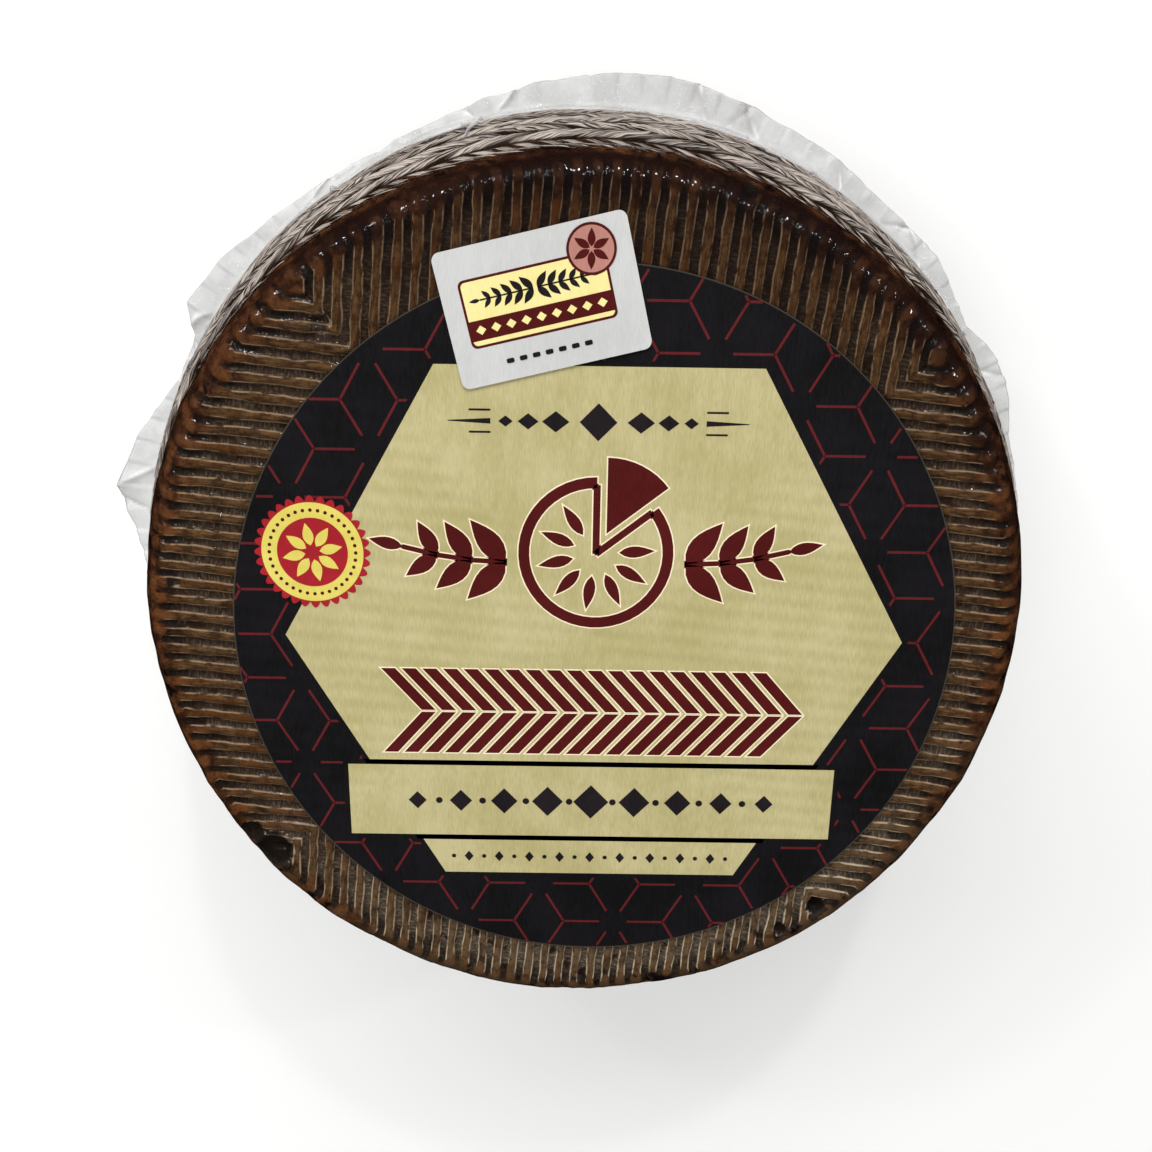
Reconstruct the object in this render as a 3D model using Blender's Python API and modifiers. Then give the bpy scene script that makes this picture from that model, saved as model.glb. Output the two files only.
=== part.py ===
"""Wheel of hard aged sheep's cheese, sealed in clear film, lying flat with its labelled face up.

Metres, +Z up. The origin is the centre of the underside, +Y is the top of the label and +X its right.
"""
import math

import bmesh
import bpy
from mathutils import Matrix, Vector

# Wheel: straight faces, a rounded rim and a side that swells to its belly
WHEEL_HEIGHT = 0.102
FACE_RADIUS = 0.0883
RIM_WIDTH = 0.0059
RIM_DROP = 0.0119
BELLY_SWELL = 0.0070
RIM_TURNS = (0.0, 26.0, 50.0)

# Side: print of the plaited esparto mould, in bands that lean left and right by turns
STRANDS = 144
BANDS = 10
PLAIT_DROP = 0.0080
PLAIT_RECESS = 0.0005
STRAND_RELIEF = 0.0012
STRAND_LEAN = math.radians(5.0)

# Faces: print of the pressing boards, nested L-shaped grooves in each corner of a square;
# their cutters stand a little above the face
GROOVE_PITCH = 0.00365
GROOVE_DEPTH = 0.0012
GROOVE_WIDTH = 0.0021
GROOVES = 17
GROOVE_TURN = math.radians(-5.5)
GROOVE_REACH = 0.0945
GROOVE_RISE = 0.0005

# Film: the welded flange that stands out of the belly, with ears where the film is bunched
FILM_THICKNESS = 0.0008
FILM_INNER_RADIUS = 0.1014
FILM_STEPS = 120
FILM_SAG = 0.0022
FILM_EARS = (
    (0, 0.1070), (18, 0.1055), (26, 0.1086), (33, 0.1043), (41, 0.1068), (52, 0.1061),
    (62, 0.1074), (73, 0.1083), (80, 0.1101), (90, 0.1084), (104, 0.1052), (118, 0.1034),
    (130, 0.1048), (140, 0.1082), (147, 0.1089), (151, 0.1036), (157, 0.1040), (164, 0.1095),
    (171, 0.1134), (179, 0.1083), (192, 0.1052), (207, 0.1076), (217, 0.1098), (227, 0.1050),
    (243, 0.1066), (256, 0.1040), (268, 0.1078), (277, 0.1096), (287, 0.1046), (303, 0.1067),
    (314, 0.1089), (323, 0.1048), (341, 0.1066),
)

# Labels
GAP = 0.0003
LABEL_RADIUS = 0.0760
LABEL_THICKNESS = 0.0003
LABEL_CENTRE = (0.0022, -0.0026)
TAG_WIDTH = 0.0380
TAG_HEIGHT = 0.0261
TAG_CORNER = 0.0016
TAG_CENTRE = (-0.0090, 0.0659)
TAG_TURN = math.radians(13.4)

# Looks: colour, roughness, alpha
LOOKS = {
    "rind": ((0.105, 0.058, 0.026), 0.35, 1.0),
    "film": ((0.80, 0.81, 0.80), 0.12, 0.35),
    "label": ((0.62, 0.55, 0.30), 0.45, 1.0),
    "tag": ((0.86, 0.86, 0.84), 0.50, 1.0),
}


def clear_scene():
    for old in list(bpy.data.objects):
        bpy.data.objects.remove(old, do_unlink=True)


def new_collection(name):
    collection = bpy.data.collections.new(name)
    bpy.context.scene.collection.children.link(collection)
    return collection


def make_material(name):
    colour, roughness, alpha = LOOKS[name]
    material = bpy.data.materials.new(name)
    material.use_nodes = True
    shader = material.node_tree.nodes["Principled BSDF"]
    shader.inputs["Base Color"].default_value = (*colour, 1.0)
    shader.inputs["Roughness"].default_value = roughness
    shader.inputs["Metallic"].default_value = 0.0
    shader.inputs["Alpha"].default_value = alpha
    return material


def add_object(name, mesh, collection, material=None):
    item = bpy.data.objects.new(name, mesh)
    collection.objects.link(item)
    if material:
        mesh.materials.append(material)
    return item


def apply_modifiers(item):
    depsgraph = bpy.context.evaluated_depsgraph_get()
    mesh = bpy.data.meshes.new_from_object(item.evaluated_get(depsgraph))
    item.modifiers.clear()
    item.data = mesh


def side_radius(drop):
    """Radius of the wheel at a drop below the upper face, the same for the lower face."""
    drop = min(drop, WHEEL_HEIGHT - drop)
    side = FACE_RADIUS + RIM_WIDTH
    if drop < RIM_DROP:
        rise = 1 - drop / RIM_DROP
        return FACE_RADIUS + RIM_WIDTH * math.sqrt(1 - rise * rise)
    half = WHEEL_HEIGHT / 2
    away = (half - drop) / (half - RIM_DROP)
    return side + BELLY_SWELL * (1 - away * away)


def rim_points():
    """Points of the upper rounded rim, from the face outwards, as radius and drop."""
    for degrees in RIM_TURNS:
        turn = math.radians(degrees)
        yield FACE_RADIUS + RIM_WIDTH * math.sin(turn), RIM_DROP * (1 - math.cos(turn))


def band_drops():
    band = (WHEEL_HEIGHT - 2 * PLAIT_DROP) / BANDS
    return [PLAIT_DROP + band * row for row in range(BANDS + 1)]


def turned_wheel(collection):
    """The wheel turned from its side profile, with both faces closed by one polygon each."""
    rim = list(rim_points())
    side = [(side_radius(drop) - PLAIT_RECESS, drop) for drop in band_drops()]
    profile = rim + side + [(radius, WHEEL_HEIGHT - drop) for radius, drop in reversed(rim)]
    mesh = bpy.data.meshes.new("cheese_wheel")
    points = [(radius, 0, WHEEL_HEIGHT - drop) for radius, drop in profile]
    mesh.from_pydata(points, [(k, k + 1) for k in range(len(points) - 1)], [])
    wheel = add_object("cheese_wheel", mesh, collection)
    screw = wheel.modifiers.new("turn", "SCREW")
    screw.axis = "Z"
    screw.angle = math.tau
    screw.steps = STRANDS
    screw.render_steps = STRANDS
    screw.use_merge_vertices = True
    screw.merge_threshold = 0.00001
    apply_modifiers(wheel)
    return wheel


def press_plait(wheel):
    """Leans the side's faces by turning every second ring, then raises each one as a strand."""
    drops = band_drops()
    shape = bmesh.new()
    shape.from_mesh(wheel.data)
    lean = Matrix.Rotation(STRAND_LEAN, 3, "Z")
    for drop in drops[1::2]:
        ring = [v for v in shape.verts if abs(WHEEL_HEIGHT - v.co.z - drop) < 0.00001]
        bmesh.ops.transform(shape, matrix=lean.to_4x4(), verts=ring)
    low, high = WHEEL_HEIGHT - drops[-1], WHEEL_HEIGHT - drops[0]
    strands = [f for f in shape.faces if low < f.calc_center_median().z < high]
    bmesh.ops.poke(shape, faces=strands, offset=STRAND_RELIEF, center_mode="MEAN")
    rims = [edge for edge in shape.edges if edge.is_boundary]
    bmesh.ops.holes_fill(shape, edges=rims, sides=0)
    bmesh.ops.recalc_face_normals(shape, faces=shape.faces)
    shape.to_mesh(wheel.data)
    shape.free()


def groove_stations(place):
    """The three cross-sections of one L-shaped groove whose corner is at (place, place)."""
    far = math.sqrt(GROOVE_REACH ** 2 - place ** 2)
    lip = GROOVE_WIDTH / 2 * (1 + GROOVE_RISE / GROOVE_DEPTH)
    lips = (-lip, 0.0, lip)
    lifts = (GROOVE_RISE, -GROOVE_DEPTH, GROOVE_RISE)
    section = list(zip(lips, lifts))
    along_y = [Vector((place + across, far, up)) for across, up in section]
    corner = [Vector((place + across, place + across, up)) for across, up in section]
    along_x = [Vector((far, place + across, up)) for across, up in section]
    return along_y, corner, along_x


def add_groove(shape, place, turn, level, side):
    """One mitred V-section bar, turned about the wheel's axis and set on a face."""
    rings = []
    spin = Matrix.Rotation(turn, 3, "Z")
    for station in groove_stations(place):
        points = [spin @ point for point in station]
        rings.append([shape.verts.new((p.x, p.y, level + side * p.z)) for p in points])
    for start, end in zip(rings, rings[1:]):
        for k in range(3):
            after = (k + 1) % 3
            shape.faces.new((start[k], start[after], end[after], end[k]))
    shape.faces.new(rings[0])
    shape.faces.new(rings[-1][::-1])


def groove_cutter(name, level, side, collection):
    """All the grooves of one face: nested L shapes in each of its four corners."""
    shape = bmesh.new()
    for corner in range(4):
        for row in range(GROOVES):
            turn = GROOVE_TURN + corner * math.pi / 2
            add_groove(shape, GROOVE_PITCH * (row + 0.5), turn, level, side)
    bmesh.ops.recalc_face_normals(shape, faces=shape.faces)
    mesh = bpy.data.meshes.new(name)
    shape.to_mesh(mesh)
    shape.free()
    cutter = add_object(name, mesh, collection)
    cutter.hide_render = True
    cutter.display_type = "WIRE"
    return cutter


def make_wheel(parts, cutters):
    wheel = turned_wheel(parts)
    press_plait(wheel)
    wheel.data.materials.append(make_material("rind"))
    for name, level, side in (("upper_grooves", WHEEL_HEIGHT, 1), ("lower_grooves", 0.0, -1)):
        cut = wheel.modifiers.new(name, "BOOLEAN")
        cut.operation = "DIFFERENCE"
        cut.solver = "EXACT"
        cut.object = groove_cutter(name, level, side, cutters)
    return wheel


def film_reach(degrees):
    """Radius of the film's edge at a bearing, straight from each ear to the next."""
    ears = FILM_EARS + ((FILM_EARS[0][0] + 360, FILM_EARS[0][1]),)
    for (start, near), (end, far) in zip(ears, ears[1:]):
        if start <= degrees <= end:
            share = (degrees - start) / (end - start)
            return near + (far - near) * share
    return FILM_EARS[0][1]


def film_wave(turn):
    """Height of the film's edge above or below the belly, as a share of its sag."""
    return 0.5 * math.sin(5 * turn + 0.7) + 0.3 * math.sin(11 * turn) + 0.2 * math.sin(19 * turn + 2)


def make_film(parts):
    """Thin wavy flange round the belly, from an open ring with thickness."""
    shape = bmesh.new()
    inner, outer = [], []
    for step in range(FILM_STEPS):
        turn = math.tau * step / FILM_STEPS
        reach = film_reach(math.degrees(turn))
        way = Vector((math.cos(turn), math.sin(turn), 0))
        lift = Vector((0, 0, WHEEL_HEIGHT / 2))
        wave = Vector((0, 0, FILM_SAG * film_wave(turn) * (reach - FILM_INNER_RADIUS) / 0.01))
        inner.append(shape.verts.new(way * FILM_INNER_RADIUS + lift))
        outer.append(shape.verts.new(way * reach + lift + wave))
    for k in range(FILM_STEPS):
        after = (k + 1) % FILM_STEPS
        shape.faces.new((inner[k], outer[k], outer[after], inner[after]))
    mesh = bpy.data.meshes.new("film_skirt")
    shape.to_mesh(mesh)
    shape.free()
    film = add_object("film_skirt", mesh, parts, make_material("film"))
    wall = film.modifiers.new("wall", "SOLIDIFY")
    wall.thickness = FILM_THICKNESS
    wall.offset = 0
    return film


def flat_outline(name, points, thickness, centre, turn, collection, material):
    """A flat sheet from a closed outline, lying at its underside's height."""
    curve = bpy.data.curves.new(name, "CURVE")
    curve.dimensions = "2D"
    curve.fill_mode = "BOTH"
    curve.extrude = thickness / 2
    spline = curve.splines.new("POLY")
    spline.points.add(len(points) - 1)
    for point, (x, y) in zip(spline.points, points):
        point.co = (x, y, 0, 1)
    spline.use_cyclic_u = True
    drawn = bpy.data.objects.new(name + "_outline", curve)
    collection.objects.link(drawn)
    depsgraph = bpy.context.evaluated_depsgraph_get()
    mesh = bpy.data.meshes.new_from_object(drawn.evaluated_get(depsgraph))
    bpy.data.objects.remove(drawn, do_unlink=True)
    shape = bmesh.new()
    shape.from_mesh(mesh)
    bmesh.ops.remove_doubles(shape, verts=shape.verts, dist=0.00001)
    shape.to_mesh(mesh)
    shape.free()
    mesh.name = name
    sheet = add_object(name, mesh, collection, material)
    sheet.location = (centre[0], centre[1], centre[2] + thickness / 2)
    sheet.rotation_euler = (0, 0, turn)
    return sheet


def circle_points(radius, count):
    turns = (math.tau * k / count for k in range(count))
    return [(radius * math.cos(t), radius * math.sin(t)) for t in turns]


def rounded_rectangle(width, height, corner, steps):
    points = []
    for quarter, (sx, sy) in enumerate(((1, 1), (-1, 1), (-1, -1), (1, -1))):
        for k in range(steps + 1):
            turn = math.pi / 2 * (quarter + k / steps)
            x = sx * (width / 2 - corner) + corner * math.cos(turn)
            y = sy * (height / 2 - corner) + corner * math.sin(turn)
            points.append((x, y))
    return points


def make_labels(parts):
    level = WHEEL_HEIGHT + GAP
    flat_outline(
        "round_label", circle_points(LABEL_RADIUS, 96), LABEL_THICKNESS,
        (*LABEL_CENTRE, level), 0, parts, make_material("label"),
    )
    level += LABEL_THICKNESS + GAP
    flat_outline(
        "control_label", rounded_rectangle(TAG_WIDTH, TAG_HEIGHT, TAG_CORNER, 4), LABEL_THICKNESS,
        (*TAG_CENTRE, level), TAG_TURN, parts, make_material("tag"),
    )


def main():
    clear_scene()
    parts = new_collection("cheese_wheel_in_film")
    cutters = new_collection("cutters")
    wheel = make_wheel(parts, cutters)
    make_film(parts)
    make_labels(parts)
    wheel.data.shade_smooth()
    wheel.data.set_sharp_from_angle(angle=math.radians(35))


main()
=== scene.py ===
"""Looks of a whole aged cheese sealed in clear film, lying with its label up.

Metres, +Z up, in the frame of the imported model: the origin is the centre of the underside,
+Y is the top of the label and +X its right.
"""
import itertools
import math
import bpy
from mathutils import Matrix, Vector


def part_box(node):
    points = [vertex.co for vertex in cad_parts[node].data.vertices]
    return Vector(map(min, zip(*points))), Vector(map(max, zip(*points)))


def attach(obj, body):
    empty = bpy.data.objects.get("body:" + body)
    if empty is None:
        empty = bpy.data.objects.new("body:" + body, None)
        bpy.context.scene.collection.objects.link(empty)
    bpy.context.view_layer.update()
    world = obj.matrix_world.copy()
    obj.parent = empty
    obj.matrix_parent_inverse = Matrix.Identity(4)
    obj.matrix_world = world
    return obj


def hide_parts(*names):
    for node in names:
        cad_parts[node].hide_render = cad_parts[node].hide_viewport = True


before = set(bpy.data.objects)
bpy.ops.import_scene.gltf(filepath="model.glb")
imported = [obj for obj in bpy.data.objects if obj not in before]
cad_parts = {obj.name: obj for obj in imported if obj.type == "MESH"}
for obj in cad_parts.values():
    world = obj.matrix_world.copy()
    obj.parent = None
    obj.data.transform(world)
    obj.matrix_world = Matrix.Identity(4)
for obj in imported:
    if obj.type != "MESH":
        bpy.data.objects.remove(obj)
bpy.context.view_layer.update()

from types import SimpleNamespace

import bpy
import numpy as np
from mathutils import Vector

scene = bpy.context.scene
MM = 0.001

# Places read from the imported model
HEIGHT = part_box("cheese_wheel")[1].z
LABEL_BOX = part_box("round_label")
LABEL_RADIUS = (LABEL_BOX[1].x - LABEL_BOX[0].x) / 2
TAG_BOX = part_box("control_label")

# Wheel: the side profile of the solid, and the rows of the mesh over its rims and faces
FACE_RADIUS = 88.3 * MM
RIM_WIDTH = 5.9 * MM
RIM_DROP = 11.9 * MM
BELLY_SWELL = 7.0 * MM
RIM_TURNS = (14, 28, 42, 54)
UPPER_LEVEL = HEIGHT - 0.05 * MM
UPPER_ROWS = 20
UPPER_SEED = 11
LOWER_LEVEL = 0.3 * MM
LOWER_ROWS = 8
LOWER_SEED = 61

# Print of the pressing boards: nested L-shaped grooves in each corner of a square. The samples
# are the places across one ridge and groove where the mesh has a line; two are the outlines, where
# glints of the film are painted.
PITCH = 3.65 * MM
GROOVES = 17
GROOVE_TURN = math.radians(-5.5)
GROOVE_DEPTH = 1.0 * MM
DEPTH_LUMP = 7 * MM
GROOVE_SAMPLES = (0.0, 0.14, 0.23, 0.36, 0.5, 0.64, 0.77, 0.86)
OUTLINE_SAMPLES = (2, 6)
GROOVE_HALF = 0.265
GROOVE_WALL = 0.13
GROOVE_END = 90.4 * MM
GROOVE_END_SPREAD = 1.6 * MM
GROOVE_TAPER = 6.5 * MM
CROWDED_FROM = 74 * MM

# Wander of the grooves' walls: how far, and how often in millimetres. The steps in the noise
# from wall to wall, quarter to quarter and arm to arm keep them unlike.
WANDER = ((0.20 * MM, 4.1), (0.12 * MM, 1.7))
WANDER_STEPS = (9.7, 41.3, 17.9)

# Knobs at the ends of the ridges, which are higher towards the top of the label
KNOB_RISE = 2.5 * MM
KNOB_FALL = 3.0 * MM
KNOB_HEIGHT = 0.20 * MM
KNOB_GAIN = 0.34 * MM
KNOB_GROWTH = 60 * MM
KNOB_LUMP = 6 * MM

# Print of the plaited mould: bands of bundles that lean left and right by turns, each bundle
# three strands wide; the two outer bands are taller and have single strands with pointed ends
STRANDS = 135
STRANDS_TOGETHER = 3
FIBRES_TOGETHER = 5
MIDDLE_BANDS = 12
BANDS = MIDDLE_BANDS + 2
TIP_DROP = 5.5 * MM
OUTER_DROP = 15.4 * MM
STRAND_RUN = math.radians(7.3)
STRAND_RECESS = 0.4 * MM
STRAND_RELIEF = 0.95 * MM
STRAND_SEED = 23
CORNER_GAP = 0.02
SIDE_BLEND = 8 * MM
OUTER_STOPS = (0.0, 0.12, 0.28, 0.45, 0.65, 0.85)
MIDDLE_STOPS = (0.0, 0.3, 0.7)

# Unevenness of the rind: the height and the size of its lumps, coarse and fine
FACE_LUMPS = ((0.22 * MM, 17 * MM), (0.10 * MM, 5 * MM))
SIDE_LUMPS = ((0.22 * MM, 17 * MM), (0.16 * MM, 4 * MM))
SIDE_SEED = 31
SWAY_SEED = 33
SWAY_LUMP = 20 * MM
RELIEF_LIMIT = 0.28 * MM

# Where the rind's colour changes towards the side, as a distance from the axis over the rim
RIM_START = 78.0 * MM
RIM_SPAN = 20.0 * MM

# What the rind's material reads at each vertex
RIND_FIELDS = ("groove", "lip", "rim", "band", "crest")

# Holes and dents in the upper face: x, y, radius and depth in millimetres. They end on the rim.
PIT_END = 9 * MM
PIT_FADE = 3 * MM
PITS = (
    (54.5, -67.6, 2.3, 2.2), (46.7, -73.8, 1.7, 1.5), (37.5, -80.2, 1.0, 1.0),
    (-69.0, -54.5, 4.4, 1.6), (-73.8, -50.0, 2.8, 1.2),
    (-52.5, 61.0, 2.2, 1.0), (-86.0, 8.5, 1.4, 0.8), (30.0, 86.5, 1.6, 1.0),
)

# Camera as in the photograph, whose frame is square
CAMERA_PLACE = (-2.8 * MM, 91.5 * MM, 371.0 * MM)
CAMERA_TURN = (-21.95, 0.04, 0.83)
CAMERA_LENS = 42.0
CAMERA_SENSOR = 36.0
CAMERA_SHIFT = 0.1076
CAMERA_NEAR = 10 * MM


# Numbers that repeat in the same way each run

HASH_MASK = 0xFFFFFFFF
HASH_START = 374761393
HASH_PRIMES = (668265263, 2246822519, 3266489917)
HASH_MIX = 1274126177


def scatter(cells, seed):
    """Pseudo-random value in -1..1 for each whole-numbered cell."""
    mixed = np.full(cells.shape[:-1], seed * HASH_START & HASH_MASK, np.int64)
    for axis in range(cells.shape[-1]):
        mixed = (mixed ^ (cells[..., axis] * HASH_PRIMES[axis])) & HASH_MASK
        mixed = (mixed * HASH_MIX) & HASH_MASK
        mixed ^= mixed >> 15
    return mixed / HASH_MASK * 2 - 1


def smooth(value):
    """0 below 0, 1 above 1 and smooth between them."""
    value = np.clip(value, 0, 1)
    return value * value * (3 - 2 * value)


def noise(points, size, seed):
    """Smooth noise in -1..1 at the points, with lumps of the given size."""
    scaled = np.asarray(points, float) / size
    base = np.floor(scaled).astype(np.int64)
    share = smooth(scaled - base)
    total = np.zeros(scaled.shape[:-1])
    for corner in itertools.product((0, 1), repeat=scaled.shape[-1]):
        step = np.array(corner)
        weight = np.where(step == 1, share, 1 - share).prod(-1)
        total += weight * scatter(base + step, seed)
    return total


def lumps(points, kinds, seed):
    """Sum of noises, each kind with its own height and size."""
    return sum(height * noise(points, size, seed + k) for k, (height, size) in enumerate(kinds))


# Object helpers

def add_object(name, data):
    item = bpy.data.objects.new(name, data)
    scene.collection.objects.link(item)
    return item


def mesh_object(name, points, faces, material):
    mesh = bpy.data.meshes.new(name)
    mesh.from_pydata(points, [], faces)
    mesh.update()
    mesh.materials.append(material)
    return add_object(name, mesh)


def place(item, slot, *nodes):
    """The piece rides with the wheel and stands for CAD nodes, which it hides. The slot is not used."""
    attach(item, "root")
    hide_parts(*nodes)


def store(mesh, name, values):
    """Keeps a number or a vector for each vertex, for the materials to read."""
    kind = "FLOAT" if values.ndim == 1 else "FLOAT_VECTOR"
    field = "value" if values.ndim == 1 else "vector"
    layer = mesh.attributes.new(name, kind, "POINT")
    layer.data.foreach_set(field, np.ascontiguousarray(values, np.float32).ravel())


# Shader helpers

class Value:
    """An output of a node in a material. Arithmetic with it adds Math nodes."""

    def __init__(self, socket):
        self.socket = socket
        self.tree = socket.id_data

    def __add__(self, other):
        return calc("ADD", self, other)

    def __sub__(self, other):
        return calc("SUBTRACT", self, other)

    def __rsub__(self, other):
        return calc("SUBTRACT", other, self)

    def __mul__(self, other):
        return calc("MULTIPLY", self, other)

    def __abs__(self):
        return calc("ABSOLUTE", self)


def colour(code):
    """Linear colour from a six-digit sRGB code."""
    parts = [int(code[k:k + 2], 16) / 255 for k in (0, 2, 4)]
    return tuple(p / 12.92 if p <= 0.04045 else ((p + 0.055) / 1.055) ** 2.4 for p in parts) + (1.0,)


def plug(socket, value):
    """Links a Value to the socket, or sets a plain value or a colour's code."""
    if isinstance(value, Value):
        value.tree.links.new(value.socket, socket)
    else:
        socket.default_value = colour(value) if isinstance(value, str) else value


def add(tree, kind, inputs=None, output=0, **settings):
    """Adds a node with its settings and inputs, and gives one of its outputs."""
    node = tree.nodes.new("ShaderNode" + kind)
    for name, value in settings.items():
        setattr(node, name, value)
    for key, value in (inputs or {}).items():
        plug(node.inputs[key], value)
    return Value(node.outputs[output])


def calc(operation, *terms, clamp=False):
    tree = next(term.tree for term in terms if isinstance(term, Value))
    return add(tree, "Math", dict(enumerate(terms)), operation=operation, use_clamp=clamp)


def mix(share, first, second):
    """Colour between two. In this node 0 is the factor, 6 and 7 the colours, 2 the result."""
    return add(share.tree, "Mix", {0: share, 6: first, 7: second}, 2, data_type="RGBA")


def ramp(value, low, high):
    """0 at low, 1 at high and smooth between them."""
    inputs = {"Value": value, "From Min": low, "From Max": high}
    return add(value.tree, "MapRange", inputs, interpolation_type="SMOOTHSTEP")


def stored(tree, name, output="Fac"):
    return add(tree, "Attribute", {}, output, attribute_name=name)


def split(vector):
    """The x and y of a vector."""
    node = add(vector.tree, "SeparateXYZ", {0: vector}).socket.node
    return Value(node.outputs[0]), Value(node.outputs[1])


def stretch(vector, scale):
    return add(vector.tree, "Mapping", {"Vector": vector, "Scale": scale})


def grain(vector, size, detail=3.0, rough=0.55, distortion=0.0):
    """Noise in 0..1 with lumps of the given size in metres."""
    inputs = {
        "Vector": vector, "Scale": 1 / size, "Detail": detail, "Roughness": rough,
        "Distortion": distortion,
    }
    return add(vector.tree, "TexNoise", inputs, "Fac")


def pick(column, row):
    """A random number in 0..1 for each whole part of the column in each row."""
    cell = add(column.tree, "CombineXYZ", {0: calc("FLOOR", column), 1: row})
    return add(column.tree, "TexWhiteNoise", {"Vector": cell})


def bump(height, distance, strength=1.0):
    inputs = {"Height": height, "Distance": distance, "Strength": strength}
    return add(height.tree, "Bump", inputs)


def new_material(name):
    """A material, its shader, and the place of each point in the object's own frame."""
    material = bpy.data.materials.new(name)
    material.use_nodes = True
    tree = material.node_tree
    return material, tree.nodes["Principled BSDF"], add(tree, "TexCoord", {}, "Object")


def set_shader(shader, **values):
    """Sets or links a shader's sockets by name, with _ for a space."""
    for key, value in values.items():
        plug(shader.inputs[key.replace("_", " ")], value)


# Wheel

def side_radius(drop):
    """Radius of the wheel at a drop below the upper face, the same for the lower face."""
    drop = np.minimum(drop, HEIGHT - drop)
    rise = np.clip(1 - drop / RIM_DROP, 0, 1)
    rim = FACE_RADIUS + RIM_WIDTH * np.sqrt(1 - rise * rise)
    away = np.clip((HEIGHT / 2 - drop) / (HEIGHT / 2 - RIM_DROP), 0, 1)
    return rim + BELLY_SWELL * (1 - away * away)


def wheel_columns():
    """Lines that run out over the face, down the side and back in, in order round the wheel.

    Each is one arm of an L: its quarter, its arm, its place in the section of ridge and groove,
    its offset from the quarter's edge, and its strand counted round the whole side.
    """
    per = len(GROOVE_SAMPLES)
    last = GROOVES * per
    rows = []
    for quarter in range(4):
        for arm, order in ((0, range(last + 1)), (1, range(last, 0, -1))):
            for k in order:
                groove, part = divmod(k, per)
                strand = k / per
                corner = CORNER_GAP if k == last else 0.0
                if arm == 1:
                    strand = 2 * GROOVES - strand
                    corner = -corner
                strand += 2 * GROOVES * quarter - corner
                offset = (groove + GROOVE_SAMPLES[part]) * PITCH
                rows.append((quarter, arm, groove, part, offset, strand))
    names = ("quarter", "arm", "groove", "part", "offset", "strand")
    columns = SimpleNamespace(**{name: np.array(row) for name, row in zip(names, zip(*rows))})
    columns.from_middle = np.abs(np.array(GROOVE_SAMPLES)[columns.part] - 0.5)
    columns.crest = np.sin(np.pi * columns.from_middle) ** 2
    return columns


def face_stations(offset, count):
    """Radius of each station along each arm, closer together near the rim."""
    share = np.linspace(0, 1, count)[:, None]
    corner = np.minimum(offset * math.sqrt(2), FACE_RADIUS)[None, :]
    power = 0.30 + 0.70 * smooth(corner / CROWDED_FROM)
    return corner + (FACE_RADIUS - corner) * share ** power


def face_places(columns, count, seed):
    """Places on a face, their distance from the axis, and how far along its arm each one is."""
    offset = columns.offset
    radius = face_stations(offset, count)
    along = np.sqrt(np.maximum(radius ** 2 - offset ** 2, offset ** 2))
    wall = columns.groove * 2 + columns.part * 2 // len(GROOVE_SAMPLES)
    line = np.array(WANDER_STEPS) @ np.stack([wall, columns.quarter, columns.arm])
    key = np.stack(np.broadcast_arrays(line, along / MM), -1)
    free = (columns.part > 0) * smooth((along - offset) / (2 * MM))
    across = offset + lumps(key, WANDER, seed) * free
    turn = GROOVE_TURN + columns.quarter * math.pi / 2
    ahead = np.where(columns.arm == 0, along, across)
    aside = np.where(columns.arm == 0, across, along)
    x = ahead * np.cos(turn) - aside * np.sin(turn)
    y = ahead * np.sin(turn) + aside * np.cos(turn)
    return x, y, radius, along


def ridge_relief(columns, x, y, reach, seed):
    """Relief of a face and its rim from their plain form, how deep in a groove each place is,
    and how near to a groove's outline, where a glint of the film is painted. The reach is the distance
    from the axis over the rim."""
    cell = np.stack([columns.groove, columns.quarter * 2 + columns.arm], -1)
    end = GROOVE_END + GROOVE_END_SPREAD * scatter(cell, seed)
    fade = np.clip((end - reach) / GROOVE_TAPER, 0, 1)
    half = GROOVE_HALF * fade ** 0.7
    groove = smooth((half - columns.from_middle) / GROOVE_WALL + 0.5) * smooth(fade * 5)
    # The outlines of the grooves, where a glint of the film is painted
    lip = np.isin(columns.part, OUTLINE_SAMPLES) * smooth(fade * 2.5 - 0.3)

    key = np.stack(np.broadcast_arrays(x, y), -1)
    deep = GROOVE_DEPTH * (1 + 0.22 * noise(key, DEPTH_LUMP, seed + 3)) * (0.4 + 0.6 * fade)
    start, stop = end - KNOB_RISE, end + KNOB_FALL
    knob = smooth((reach - start) / KNOB_RISE) * smooth((stop - reach) / KNOB_FALL)
    gain = smooth(y / KNOB_GROWTH + 0.3) * (0.6 + 0.8 * noise(key, KNOB_LUMP, seed + 6))
    relief = (KNOB_HEIGHT + KNOB_GAIN * gain) * knob * (columns.crest - 0.5) - deep * groove
    return relief + lumps(key, FACE_LUMPS, seed + 4), groove, lip


def pit_depth(x, y):
    """Depth of the holes and dents, and how far into one each place is, which sets the painted shade
    inside them.
    """
    depth, inside = np.zeros_like(x), np.zeros_like(x)
    for px, py, radius, deep in PITS:
        away = np.hypot(x - px * MM, y - py * MM) / (radius * MM)
        depth = np.maximum(depth, deep * MM * smooth(1.3 - away))
        inside = np.maximum(inside, min(deep + 0.2, 2) * smooth((1.15 - away) / 0.4))
    return depth, inside


def mesh_rows(columns, x, y, z, reach, **fields):
    """Rows of the mesh: their places, and what the material reads there."""
    fields.update(
        x=np.atleast_2d(x), y=y, z=z, rim=np.clip((reach - RIM_START) / RIM_SPAN, 0, 1),
        crest=columns.crest, across=columns.offset + 0.1 * columns.quarter,
    )
    return {name: np.broadcast_to(values, fields["x"].shape) for name, values in fields.items()}


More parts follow.
